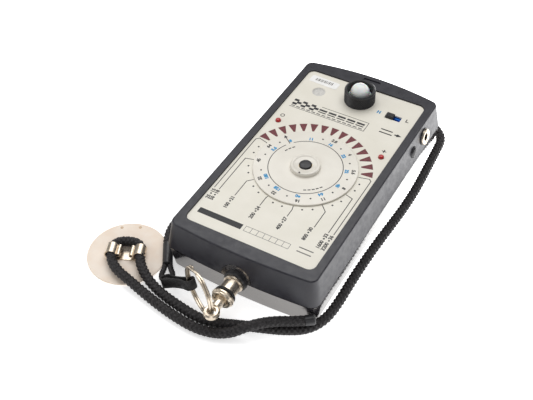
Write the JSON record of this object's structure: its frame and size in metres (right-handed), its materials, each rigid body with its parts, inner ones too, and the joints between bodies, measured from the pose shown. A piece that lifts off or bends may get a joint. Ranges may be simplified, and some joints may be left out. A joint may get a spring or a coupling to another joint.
{
  "type": "hand-held flash meter",
  "caption": "Hand-held electronic flash meter with a light-sensor dome, an arc of read-out windows, a turning calculator disc and a braided neck cord on a quick-release coupling.",
  "frame": {"origin": "centre of the flat rear face, below the middle of the front panel", "axes": "+Z out of the front panel, +Y towards the sensor end, +X towards the side with the sync socket"},
  "size_m": [0.1331, 0.1944, 0.0386],
  "materials": {
    "case_black": "moulded charcoal plastic, fine satin texture",
    "panel_cream": "satin cream enamel with screen printing",
    "filter_red": "deep red transparent filter, glossy",
    "led_red": "diffused red epoxy",
    "label_paper": "semi-gloss label paper",
    "plastic_black": "black plastic, satin",
    "dome_white": "translucent white diffuser",
    "cap_grey": "light grey satin plastic",
    "plastic_blue": "blue moulded plastic",
    "dial_cream": "cream plastic with printed scales",
    "brass_turned": "turned brass",
    "screw_steel": "bright steel",
    "nickel": "nickel plate, warm, lightly rubbed",
    "board_green": "glass-epoxy circuit board",
    "battery_steel": "printed steel can",
    "foam_grey": "soft open foam",
    "ring_rubber": "black rubber",
    "cord_black": "braided black cord",
    "disc_cream": "smooth cream leatherette"
  },
  "bodies": {
    "meter": {"upper_case": "case_black", "lower_case": "case_black", "case_screws": "screw_steel", "facia_panel": "panel_cream", "window_filter": "filter_red", "display_leds": "led_red", "under_led": "led_red", "over_led": "led_red", "stock_label": "label_paper", "sensor_collar": "plastic_black", "diffuser_dome": "dome_white", "photodiode": "plastic_black", "trimmer_cap": "cap_grey", "trimmer": "plastic_blue", "dial_bush": "brass_turned", "dial_washer": "screw_steel", "dial_clip": "screw_steel", "reset_spring": "screw_steel", "reset_switch": "plastic_black", "range_switch": "plastic_blue", "sync_socket": "plastic_black", "sync_washer": "plastic_black", "sync_nut": "nickel", "sync_contact": "brass_turned", "flash_switch": "plastic_black", "circuit_board": "board_green", "board_screws": "screw_steel", "logic_chips": "plastic_black", "capacitors": "plastic_blue", "battery": "battery_steel", "battery_snap": "plastic_black", "battery_leads": "plastic_black", "battery_foam": "foam_grey", "coupling_bezel": "plastic_black", "coupling_nut": "nickel", "coupling_barrel": "nickel", "barrel_ring": "ring_rubber", "cord_tab": "cord_black", "cord_sleeve": "plastic_black", "eye_cord": "cord_black", "neck_cord": "cord_black", "cord_tip": "plastic_black", "neck_disc": "disc_cream", "disc_clip": "nickel"},
    "dial": {"calculator_dial": "dial_cream", "dial_hub": "dial_cream"},
    "reset": {"reset_button": "plastic_black"},
    "range": {"range_knob": "plastic_black"},
    "flash": {"flash_button": "plastic_black", "flash_spring": "screw_steel"},
    "collar": {"release_collar": "nickel"},
    "plug": {"coupling_plug": "nickel"},
    "ring": {"split_ring": "nickel"},
    "cover": {"battery_cover": "case_black"}
  },
  "joints": [
    {"name": "dial_turn", "type": "hinge", "parent": "meter", "child": "dial", "pos_m": [0, -0.00684, 0.029], "axis": [0, 0, 1], "continuous": true},
    {"name": "reset_press", "type": "slide", "parent": "meter", "child": "reset", "axis": [0, 0, -1], "range_m": [0, 0.001], "stiffness_N_per_m": 800, "deforming": ["reset_spring"]},
    {"name": "range_slide", "type": "slide", "parent": "meter", "child": "range", "axis": [1, 0, 0], "range_m": [0, 0.0036]},
    {"name": "flash_press", "type": "slide", "parent": "meter", "child": "flash", "axis": [-0.9884, 0, -0.1516], "range_m": [0, 0.0012], "stiffness_N_per_m": 800},
    {"name": "collar_slide", "type": "slide", "parent": "meter", "child": "collar", "axis": [0, -1, 0], "range_m": [0, 0.0012], "stiffness_N_per_m": 1500},
    {"name": "plug_swivel", "type": "hinge", "parent": "meter", "child": "plug", "pos_m": [0, -0.08, 0.013], "axis": [0, 1, 0], "range_deg": [-8, 8]},
    {"name": "ring_spin", "type": "hinge", "parent": "meter", "child": "ring", "pos_m": [-0.01027, -0.09197, 0.0162], "axis": [-0.5, -0.866, 0], "continuous": true},
    {"name": "cover_lift", "type": "slide", "parent": "meter", "child": "cover", "axis": [0, 0, -1], "range_m": [0, 0.012]}
  ]
}
